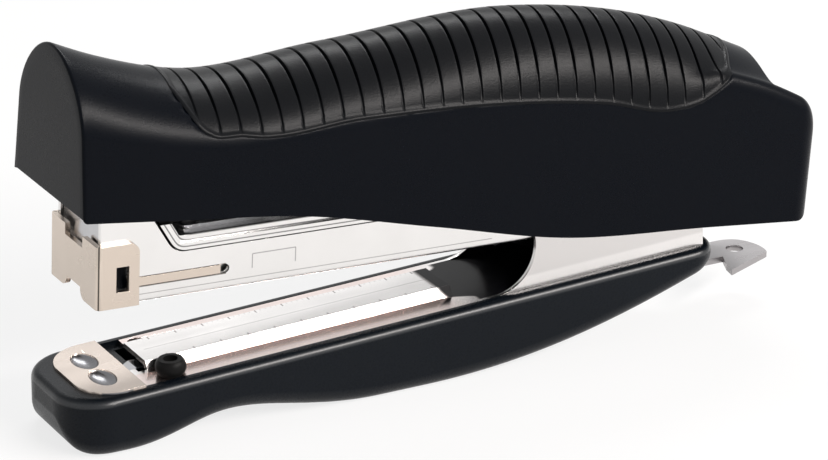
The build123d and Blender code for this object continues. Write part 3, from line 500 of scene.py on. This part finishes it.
# Handle shell
# One black moulding, open below: a flat front it can stand on, a saddle, a high crest, and a tail where the
# roof ends in a step above a falling shelf. Sizes are millimetres along (u), across (y) and up (w) from its
# lower front corner, but the top and grip lines go along by shares of the handle's length.
HANDLE_AT = from_pin(-100.390, 12.371)
HANDLE_TILT = math.radians(7.5)
HANDLE_LENGTH = 124.546
HANDLE_HALF = 12.47  # half the width at the height of the lower front corner
TOP_LINE = [(-0.029, 23.1), (0.048, 20.15), (0.159, 17.8), (0.338, 21.4), (0.58, 26.2), (0.836, 22.5),
            (0.893, 20.2), (0.926, 18.85), (0.96, 17.3), (1.02, 14.2)]
RIM_LINE = [(95, 20.6), (107.3, 17.9), (115.0, 15.9), (120.8, 13.75), (124.6, 12.1), (128, 10.6)]
LOW_LINE = [(-4, 0.0), (15, -0.2), (33.8, -0.5), (56.4, -3.2), (79.0, -6.0), (105.3, -5.7), (126, -5.5)]
GRIP_LINE = [(0.117, 17.0), (0.136, 13.2), (0.198, 11.2), (0.35, 13.1), (0.531, 14.5), (0.68, 14.0),
             (0.773, 12.6), (0.82, 13.9), (0.853, 16.6), (0.874, 19.0), (0.8915, 20.6)]
GRIP_START = GRIP_LINE[0][0] * HANDLE_LENGTH
GRIP_END = GRIP_LINE[-1][0] * HANDLE_LENGTH
GRIP_BED = 1.1  # depth of the bed for the grip
BED_ENDS = (0.1, 1.2)  # its slope behind the grip's front end, and ahead of the rear one
BED_SIDE = (0.1, 1.3)  # its slope above the grip's lower edge
FACE_LEAN = math.radians(4.5)
LEAN_REACH = 14  # the lean of the face fades out over this length
FOREMOST = -3  # the lines are not read ahead of this place
FACE_ROUND = 0.5
FACE_ROUND_INSIDE = 0.3
FACE_ROUND_RISE = 3  # the face's lower edge is lifted over this height
SIDE_WALL = 1.65
ROOF_WALL = 2.95
SIDE_LEAN = 0.10  # the sides lean in by this share of their height
KNEE = 0.52  # the side ends at this share of the top's height
KNEE_PULL = 0.5  # guide point above the knee, as a share of the rise to the top
ROOF_PULL = 0.45  # guide point level with the top, as a share of the half width
TAIL_CHANGE = (98.4, 107.1)  # where the section of the body becomes that of the tail
TAIL_STEP = (115.35, 116.35)  # where the roof drops to the shelf
TAIL_ROUND = 3.6  # rear corners, seen from above
HEEL_ROUND = 2.9  # rear lower corner, seen from the side
REAR_REACH = 4.0  # the rim falls over this last length
RIM_DROP = 3.6
RIM_ASIDE = 1.3  # round shoulder of the tail, across
RIM_BELOW = 3.0  # and down
RIM_CORNER_BELOW = 0.6  # guide point of the shoulder, below the rim
BELOW_RIM = 2 / 3  # share of a section's points that lie below the rim
ROOF_SWELL = 1.5  # power of the swelling roof of the tail
SHELF_DISH = 0.4  # depth of the hollow in the shelf
FINE_FROM = 100  # sections stand closer together behind this place
STEP_MARGIN = 0.2  # closest sections reach this far past the step
QUARTER_TURN = math.pi / 2
NO_LENGTH = 1e-9  # keeps a direction finite where points meet
SAME_PLACE = 1e-7  # metres, the cell in which points are one
CREASE = math.radians(38)  # edges that turn by more than this are not shaded as round


def curve_through(points, place, scale=1.0):
    """Height at each place of a smooth line: cubic pieces through the points, each point's slope the mean
    of its neighbours' slopes."""
    along, height = np.array(points).T
    along = along * scale
    slope = np.gradient(height, along)
    i = np.clip(np.searchsorted(along, place) - 1, 0, len(along) - 2)
    step = along[i + 1] - along[i]
    t = (place - along[i]) / step
    rise = (1 + 2 * t) * (1 - t) ** 2 * height[i] + t * t * (3 - 2 * t) * height[i + 1]
    return rise + step * t * (1 - t) * ((1 - t) * slope[i] - t * slope[i + 1])


def smooth_step(low, high, value):
    """0 below low, 1 above high, and a smooth S between."""
    t = np.clip((value - low) / (high - low), 0, 1)
    return t * t * (3 - 2 * t)


def round_off(u, reach):
    """0 ahead of the last reach of the handle, then a quarter circle to 1 at its rear end."""
    t = np.clip((u - HANDLE_LENGTH) / reach + 1, 0, 1)
    return 1 - np.sqrt(1 - t * t)


def length_along(y, w):
    """Length of each line from its first point to each of its points."""
    steps = np.hypot(np.diff(y, axis=1, prepend=y[:, :1]), np.diff(w, axis=1, prepend=w[:, :1]))
    return np.cumsum(steps, axis=1)


def spread(y, w, rows):
    """Points of each line at the same shares of its length."""
    run = length_along(y, w)
    run = run / run[:, -1:]
    return [np.array([np.interp(rows, r, v) for r, v in zip(run, values)]) for values in (y, w)]


def body_outline(low, top, inset, rows):
    """Half section of the long body: the side leans in by a share of its height up to a knee, and a cubic
    curve goes on from there to the level top."""
    knee = KNEE * top
    half = HANDLE_HALF - SIDE_LEAN * knee - inset
    bend = KNEE_PULL * (top - knee)
    side_w = low + (knee - low) * np.linspace(0, 1, 40)
    t = np.linspace(0, 1, 160)[None, 1:]
    first, second, third, fourth = (1 - t) ** 3, 3 * t * (1 - t) ** 2, 3 * t * t * (1 - t), t ** 3
    curve_y = half * first + (half - SIDE_LEAN * bend) * second + ROOF_PULL * half * third
    curve_w = knee * first + (knee + bend) * second + top * (third + fourth)
    y = np.concatenate([HANDLE_HALF - SIDE_LEAN * side_w - inset, curve_y], axis=1)
    return spread(y, np.concatenate([side_w, curve_w], axis=1), rows)


def tail_outline(low, rim, crown, inset, rows):
    """Half section of the tail: the leaning side, a round shoulder drawn as one quadratic curve up to a
    rim, and a roof that swells from the rim to the crown."""
    side_w = low + (rim - RIM_BELOW - low) * np.linspace(0, 1, 40)
    t = np.linspace(0, 1, 40)[None, 1:]
    first, second, third = (1 - t) ** 2, 2 * t * (1 - t), t * t
    corner = HANDLE_HALF - SIDE_LEAN * rim - inset
    shoulder_y = first * (corner + SIDE_LEAN * RIM_BELOW) + second * corner + third * (corner - RIM_ASIDE)
    shoulder_w = first * (rim - RIM_BELOW) + second * (rim - RIM_CORNER_BELOW) + third * rim
    y = np.concatenate([HANDLE_HALF - SIDE_LEAN * side_w - inset, shoulder_y], axis=1)
    w = np.concatenate([side_w, shoulder_w], axis=1)
    lower = spread(y, w, np.clip(rows / BELOW_RIM, 0, 1))
    s = np.linspace(1, 0, 120)[None, :]
    roof_y = (corner - RIM_ASIDE) * s
    roof_w = rim + crown * (1 - s * s) ** ROOF_SWELL
    roof = spread(roof_y, roof_w, np.clip((rows - BELOW_RIM) / (1 - BELOW_RIM), 0, 1))
    return [np.where(rows < BELOW_RIM, low_part, roof_part) for low_part, roof_part in zip(lower, roof)]


def handle_outline(u, inset, roof, rows):
    """Right half of the upright section at each u, from the lower edge to the top, as y and w. The section
    of the body becomes that of the tail, whose crown ends at a step, and both draw in to the round rear
    end."""
    u = u[:, None]
    ahead = u + inset
    top = curve_through(TOP_LINE, ahead, HANDLE_LENGTH) - roof
    low = curve_through(LOW_LINE, u) + HEEL_ROUND * round_off(u, HEEL_ROUND)
    rim = curve_through(RIM_LINE, ahead) - roof - RIM_DROP * round_off(u, REAR_REACH)
    behind = smooth_step(*TAIL_STEP, ahead)
    crown = (top - rim) * (1 - behind) - SHELF_DISH * behind
    tail = smooth_step(*TAIL_CHANGE, u)
    body = body_outline(low, top, inset, rows)
    end = tail_outline(low, rim, crown, inset, rows)
    y, w = [first + tail * (second - first) for first, second in zip(body, end)]
    return y * (1 - TAIL_ROUND / HANDLE_HALF * round_off(u, TAIL_ROUND)), w


def section_normals(y, w):
    """Outward direction of each point of a half section, square to the line through its neighbours."""
    dy = np.gradient(y, axis=1)
    dw = np.gradient(w, axis=1)
    length = np.hypot(dy, dw) + NO_LENGTH
    return dw / length, -dy / length


def both_sides(y, w):
    """Whole section from the right lower edge over the top to the left one."""
    return np.concatenate([y, -y[:, -2::-1]], axis=1), np.concatenate([w, w[:, -2::-1]], axis=1)


def handle_points(u, y, w):
    """Places in the shared frame, in metres, of points of the handle."""
    x = HANDLE_AT[0] + u * math.cos(HANDLE_TILT) + w * math.sin(HANDLE_TILT)
    z = HANDLE_AT[1] - u * math.sin(HANDLE_TILT) + w * math.cos(HANDLE_TILT)
    return np.stack([x, y, z], axis=-1) * MM


def grid_mesh(name, points):
    """Mesh of rings of points: a face between each four neighbours, the last point of a ring joined to its
    first, points at the same place made one, and faces that have shrunk to nothing left out."""
    rings, count = points.shape[:2]
    index = np.arange(rings * count).reshape(rings, count)
    index = np.concatenate([index, index[:, :1]], axis=1)
    corners = np.stack([index[:-1, :-1], index[:-1, 1:], index[1:, 1:], index[1:, :-1]], axis=-1)
    flat = points.reshape(-1, 3)
    cells = np.round(flat / SAME_PLACE).astype(np.int64)
    _, first, same = np.unique(cells, axis=0, return_index=True, return_inverse=True)
    corners = same.reshape(-1)[corners.reshape(-1, 4)]
    faces = [tuple(dict.fromkeys(face)) for face in corners.tolist()]
    mesh = bpy.data.meshes.new(name)
    mesh.from_pydata(flat[first].tolist(), [], [face for face in faces if len(face) > 2])
    mesh.polygons.foreach_set("use_smooth", np.ones(len(mesh.polygons), bool))
    mesh.validate()
    mesh.set_sharp_from_angle(angle=CREASE)
    return mesh


def show(mesh, material):
    """A new object with the mesh and the material, in the scene."""
    piece = bpy.data.objects.new(mesh.name, mesh)
    mesh.materials.append(material)
    bpy.context.scene.collection.objects.link(piece)
    return piece


def shell_stations(front, back, front_round):
    """Places along the shell, closer at the step and along quarter turns at both ends, and how far the
    section at each place is drawn in to round off the front face."""
    turn = np.linspace(0, 1, 7) * QUARTER_TURN
    front_at = front + front_round * (1 - np.cos(turn))
    front_in = front_round * (1 - np.sin(turn))
    rear = back - REAR_REACH * (1 - np.sin(np.linspace(0, 1, 24) * QUARTER_TURN))
    step = np.linspace(TAIL_STEP[0] - STEP_MARGIN, TAIL_STEP[1] + STEP_MARGIN, 16)
    body = np.linspace(front_at[-1], FINE_FROM, 120)[1:]
    tail = np.linspace(FINE_FROM, step[0], 45)[1:]
    shelf = np.linspace(step[-1], rear[0], 12)[1:-1]
    u = np.concatenate([front_at, body, tail, step[1:], shelf, rear])
    return u, np.concatenate([front_in, np.zeros(len(u) - len(front_in))])


def bed_depth(u, w):
    """Depth of the bed for the grip: the full depth inside the grip's lower edge and its ends, else 0."""
    edge = curve_through(GRIP_LINE, np.clip(u, GRIP_START, GRIP_END), HANDLE_LENGTH)
    along = smooth_step(*BED_ENDS, u - GRIP_START) * smooth_step(*BED_ENDS, GRIP_END - u)
    return GRIP_BED * along[:, None] * smooth_step(*BED_SIDE, w - edge[:, None])


def end_rings(y, w, grow):
    """Copies of an end section that grow from the middle of its lower edge, as y and w."""
    return grow * y, w[:, :1] + grow * (w - w[:, :1])


def shell_skin(front, back, inset, roof, front_round, bed):
    """One skin of the shell: rings that grow on the leaning front face, a round edge, the body, and rings
    that shrink on the rear face."""
    rows = np.linspace(0, 1, 91)
    u, drawn_in = shell_stations(front, back, front_round)
    drawn_in = drawn_in[:, None]
    lean = math.tan(FACE_LEAN) * (1 - smooth_step(0, LEAN_REACH, u))
    upright_w = handle_outline(u, inset, roof, rows)[1]
    top_u = u - lean * upright_w[:, -1]
    y, w = handle_outline(np.maximum(top_u, FOREMOST), inset, roof, rows)
    out_y, out_w = section_normals(y, w)
    low_in = drawn_in * (1 - smooth_step(0, FACE_ROUND_RISE, w - w[:, :1]))
    y = y - drawn_in * out_y
    w = w - drawn_in * out_w + low_in
    if bed:
        sunk = bed_depth(u, w)
        y = y - sunk * out_y
        w = w - sunk * out_w
    y, w = both_sides(y, w)
    grow = np.linspace(0, 1, 12)[:-1, None]
    front_y, front_w = end_rings(y[:1], w[:1], grow)
    back_y, back_w = end_rings(y[-1:], w[-1:], grow[::-1])
    front_u = front - lean[0] * front_w
    back_u = back - lean[-1] * back_w
    u = u[:, None] - lean[:, None] * w
    parts = (front_u, u, back_u), (front_y, y, back_y), (front_w, w, back_w)
    return handle_points(*[np.concatenate(part) for part in parts])


outer = shell_skin(0.0, HANDLE_LENGTH, 0.0, 0.0, FACE_ROUND, True)
inner = shell_skin(SIDE_WALL, HANDLE_LENGTH - 2 * SIDE_WALL, SIDE_WALL, ROOF_WALL, FACE_ROUND_INSIDE, False)
cover = show(grid_mesh("handle_cover", np.concatenate([outer, inner[:, ::-1]], axis=1)), black_plastic)
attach(cover, "handle")
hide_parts("handle_shell")


# Grip
# A softer ribbed inlay of black rubber-like plastic, moulded into the bed in the top of the shell.
# Thin grooves run square to its length, and a raised line runs round its edge.
GRIP_WALL = 1.0
GROOVES = 30
GROOVE_FIRST = 17.4
GROOVE_PITCH = 3.25
GROOVE_AT = GROOVE_FIRST + GROOVE_PITCH * np.arange(GROOVES)
GROOVE_DEPTH = 0.75
GROOVE_HALF = 0.19
GROOVE_FADE = (0.5, 1.8)  # grooves begin at this distance inside the edge
GROOVE_DEEPEN = (2.0, 11.0)  # and deepen over this distance
GROOVE_SHALLOW = 0.35  # share of the depth before they deepen
NEAR_GROOVE = np.array([0, 0.08, 0.13, 0.17, 0.21, 0.26, 0.34, 0.6, 1.0])  # sections beside a groove
NEAR_END = np.array([0, 0.12, 0.3, 0.5, 0.7, 0.9, 1.2])  # sections at an end
NEAR_EDGE = np.array([0, 0.004, 0.010, 0.018, 0.028, 0.042])  # shares of the way to the top
OVER_TOP = np.linspace(0.06, 1, 40)
BEAD_HEIGHT = 0.16
BEAD_WIDTH = 0.75
BEAD_FULLNESS = 0.8
EDGE_SUNK = 0.05  # the outermost line lies this far below the shell's surface
EDGE_WIDTH = 0.01  # what counts as the outermost line
TOP_MARGIN = 0.05  # the edge stays this far below the top line
SECTION_LENGTH = 32.0  # about the length of a half section


def read_at(place, known, values):
    """Values of each line at its own places, straight between the known ones."""
    return np.array([np.interp(p, known, v) for p, v in zip(place, values)])


def grip_stations():
    """Places along the grip, closer at the grooves and at both ends."""
    near = np.concatenate([-NEAR_GROOVE[:0:-1], NEAR_GROOVE])
    grooves = (GROOVE_AT[:, None] + near).ravel()
    u = np.concatenate([GRIP_START + NEAR_END, grooves, GRIP_END - NEAR_END[::-1]])
    return np.unique(np.clip(u, GRIP_START, GRIP_END))


def grip_height(u, inside):
    """Height over the handle's outline, from the place along and the distance inside the grip's edge: a
    bead along the edge, less a bell-shaped groove at each groove's place, which fades out towards the
    edge."""
    bead = BEAD_HEIGHT * np.sin(np.pi * np.clip(inside / BEAD_WIDTH, 0, 1)) ** BEAD_FULLNESS
    bead = bead - EDGE_SUNK * (inside < EDGE_WIDTH)
    off = np.abs(u[:, None] - GROOVE_AT[None, :]).min(axis=1)[:, None]
    deep = GROOVE_SHALLOW + (1 - GROOVE_SHALLOW) * smooth_step(*GROOVE_DEEPEN, inside)
    groove = GROOVE_DEPTH * np.exp(-(off / GROOVE_HALF) ** 4)
    return bead - groove * smooth_step(*GROOVE_FADE, inside) * deep


def grip_skin():
    """Outer and inner skins of the inlay, as rings round its sections. Each runs over the top from the
    lower edge on one side to that on the other, and back along the inside. The end rings close on a
    line."""
    u = grip_stations()
    fine = np.linspace(0, 1, 400)
    y, w = handle_outline(u, 0.0, 0.0, fine)
    out_y, out_w = section_normals(y, w)
    edge = np.minimum(curve_through(GRIP_LINE, u, HANDLE_LENGTH), w[:, -1] - TOP_MARGIN)
    start = np.array([np.interp(e, row, fine) for e, row in zip(edge, w)])
    shares = np.concatenate([NEAR_EDGE, OVER_TOP])
    place = start[:, None] + (1 - start[:, None]) * shares
    y, w, out_y, out_w = [read_at(place, fine, values) for values in (y, w, out_y, out_w)]
    slant = np.gradient(start * SECTION_LENGTH, u)[:, None]
    from_end = np.minimum(u - GRIP_START, GRIP_END - u)[:, None]
    inside = np.minimum(length_along(y, w) / np.hypot(1, slant), from_end)
    height = grip_height(u, inside)
    upper_y, upper_w = both_sides(y + height * out_y, w + height * out_w)
    lower_y, lower_w = both_sides(y - GRIP_WALL * out_y, w - GRIP_WALL * out_w)
    along = np.broadcast_to(u[:, None], upper_y.shape)
    upper = handle_points(along, upper_y, upper_w)
    lower = handle_points(along, lower_y, lower_w)
    grid = np.concatenate([upper, lower[:, ::-1]], axis=1)
    middle = 0.5 * (grid + grid[:, ::-1])
    return np.concatenate([middle[:1], grid, middle[-1:]])


soft_black = black_moulding("soft black grip", colour=(0.0026, 0.0031, 0.0042),
                            roughness=0.32, grain=0.022, shine=0.095)
grip = show(grid_mesh("ribbed_grip", grip_skin()), soft_black)
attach(grip, "handle")
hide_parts("grip_insert")


# Stage
# What the object stands on and is seen by, and no part of it: a pale floor that shows white to the camera
# and keeps a soft shadow, three soft lamps, a grey surround, and a camera with a long lens, whose picture
# width and focal length are in pixels.
FLOOR_RINGS = np.array([0.0, 0.1, 0.4, 1.0, 3.0])
FLOOR_SEEN = 0.78  # share of the floor's own white for the eye
FLOOR_REFLECTED = 0.40  # and for reflections
PICTURE_WIDTH = 828
FOCAL = 3714.5
SENSOR = 36.0
VIEW_REACH = 20.0
CAMERA_AT = PIN + Vector((-291.81, -452.43, 203.651))
AZIMUTH = math.radians(28.976)
ELEVATION = math.radians(21.863)
ROLL = math.radians(0.5375)


def ray(tree, kind):
    """1 for a ray of the kind that is named, 0 for others."""
    return tree.node("LightPath", output=f"Is {kind} Ray")


def floor_finish():
    """Pale floor: mostly its own white for the eye, less for reflections, the rest lit, so shadows stay."""
    finish = Finish("pale floor", Base_Color=(0.9, 0.9, 0.9, 1), Roughness=0.9, Specular_IOR_Level=0.0)
    seen = FLOOR_SEEN * (ray(finish, "Camera") + ray(finish, "Transmission"))
    share = seen + FLOOR_REFLECTED * ray(finish, "Glossy")
    glow = finish.node("Emission", inputs={"Color": (1, 1, 1, 1), "Strength": 1.0})
    lit = Value(finish, finish.shader.outputs[0])
    mixed = finish.node("MixShader", inputs={0: share, 1: lit, 2: glow})
    finish.feed(finish.tree.nodes["Material Output"], {"Surface": mixed})
    return finish.material


def floor_mesh():
    """A round sheet on the table: rings of points at growing distances from the middle."""
    angle = np.linspace(2 * math.pi, 0, 96, endpoint=False)[None, :]
    reach = FLOOR_RINGS[:, None]
    x = reach * np.cos(angle)
    y = reach * np.sin(angle)
    return grid_mesh("floor", np.stack([x, y, np.zeros_like(x)], axis=-1))


floor = show(floor_mesh(), floor_finish())


def stand(name, data, place, right, up):
    """Put a lamp or a camera at a place, with its own right and up along two directions."""
    holder = bpy.data.objects.new(name, data)
    bpy.context.scene.collection.objects.link(holder)
    turn = np.stack([right, up, np.cross(right, up)], axis=1)
    holder.matrix_world = Matrix.Translation(place) @ Matrix(turn.tolist()).to_4x4()
    return holder


def lamp(name, place, target, size, power, colour=(1, 1, 1)):
    """Soft rectangular lamp at a place, turned to its target."""
    light = bpy.data.lights.new(name, "AREA")
    light.shape = "RECTANGLE"
    light.size, light.size_y = size
    light.energy = power
    light.color = colour
    back = np.array(place) - np.array(target)
    back = back / np.linalg.norm(back)
    right = np.cross((0, 0, 1), back)
    right = right / np.linalg.norm(right)
    stand(name, light, place, right, np.cross(back, right))


lamp("top lamp", place=(0.38, 0.56, 0.72), target=(0, 0, 0.03), size=(0.70, 0.14), power=4.2)
lamp("near strip", place=(0.40, -0.63, 0.49), target=(0, 0, 0.04), size=(0.90, 0.10), power=11.0,
     colour=(1.0, 0.95, 0.92))
lamp("front lamp", place=(-0.80, -0.10, 0.35), target=(0, 0, 0.03), size=(0.25, 0.25), power=0.12)


def surround(grey, white):
    """World of an even grey for the light, and of a paler one for the eye and for reflections."""
    world = bpy.data.worlds.new("studio")
    world.use_nodes = True
    sky = Nodes(world.node_tree)
    seen = ray(sky, "Camera") + ray(sky, "Glossy") + ray(sky, "Transmission")
    strength = grey + (white - grey) * seen
    sky.feed(sky.tree.nodes["Background"], {"Color": (1, 1, 1, 1), "Strength": strength})
    return world


bpy.context.scene.world = surround(grey=0.30, white=0.88)

level_right = np.array([math.cos(AZIMUTH), -math.sin(AZIMUTH), 0])
level_up = np.array([math.sin(ELEVATION) * math.sin(AZIMUTH),
                     math.sin(ELEVATION) * math.cos(AZIMUTH),
                     math.cos(ELEVATION)])
camera_right = level_right * math.cos(ROLL) + level_up * math.sin(ROLL)
camera_up = level_up * math.cos(ROLL) - level_right * math.sin(ROLL)
lens = bpy.data.cameras.new("camera")
lens.sensor_fit = "HORIZONTAL"
lens.sensor_width = SENSOR
lens.lens = FOCAL / PICTURE_WIDTH * SENSOR
lens.clip_end = VIEW_REACH
camera_place = [size * MM for size in CAMERA_AT]
bpy.context.scene.camera = stand("camera", lens, camera_place, camera_right, camera_up)
bpy.context.scene.view_settings.view_transform = "Standard"

bpy.context.view_layer.update()
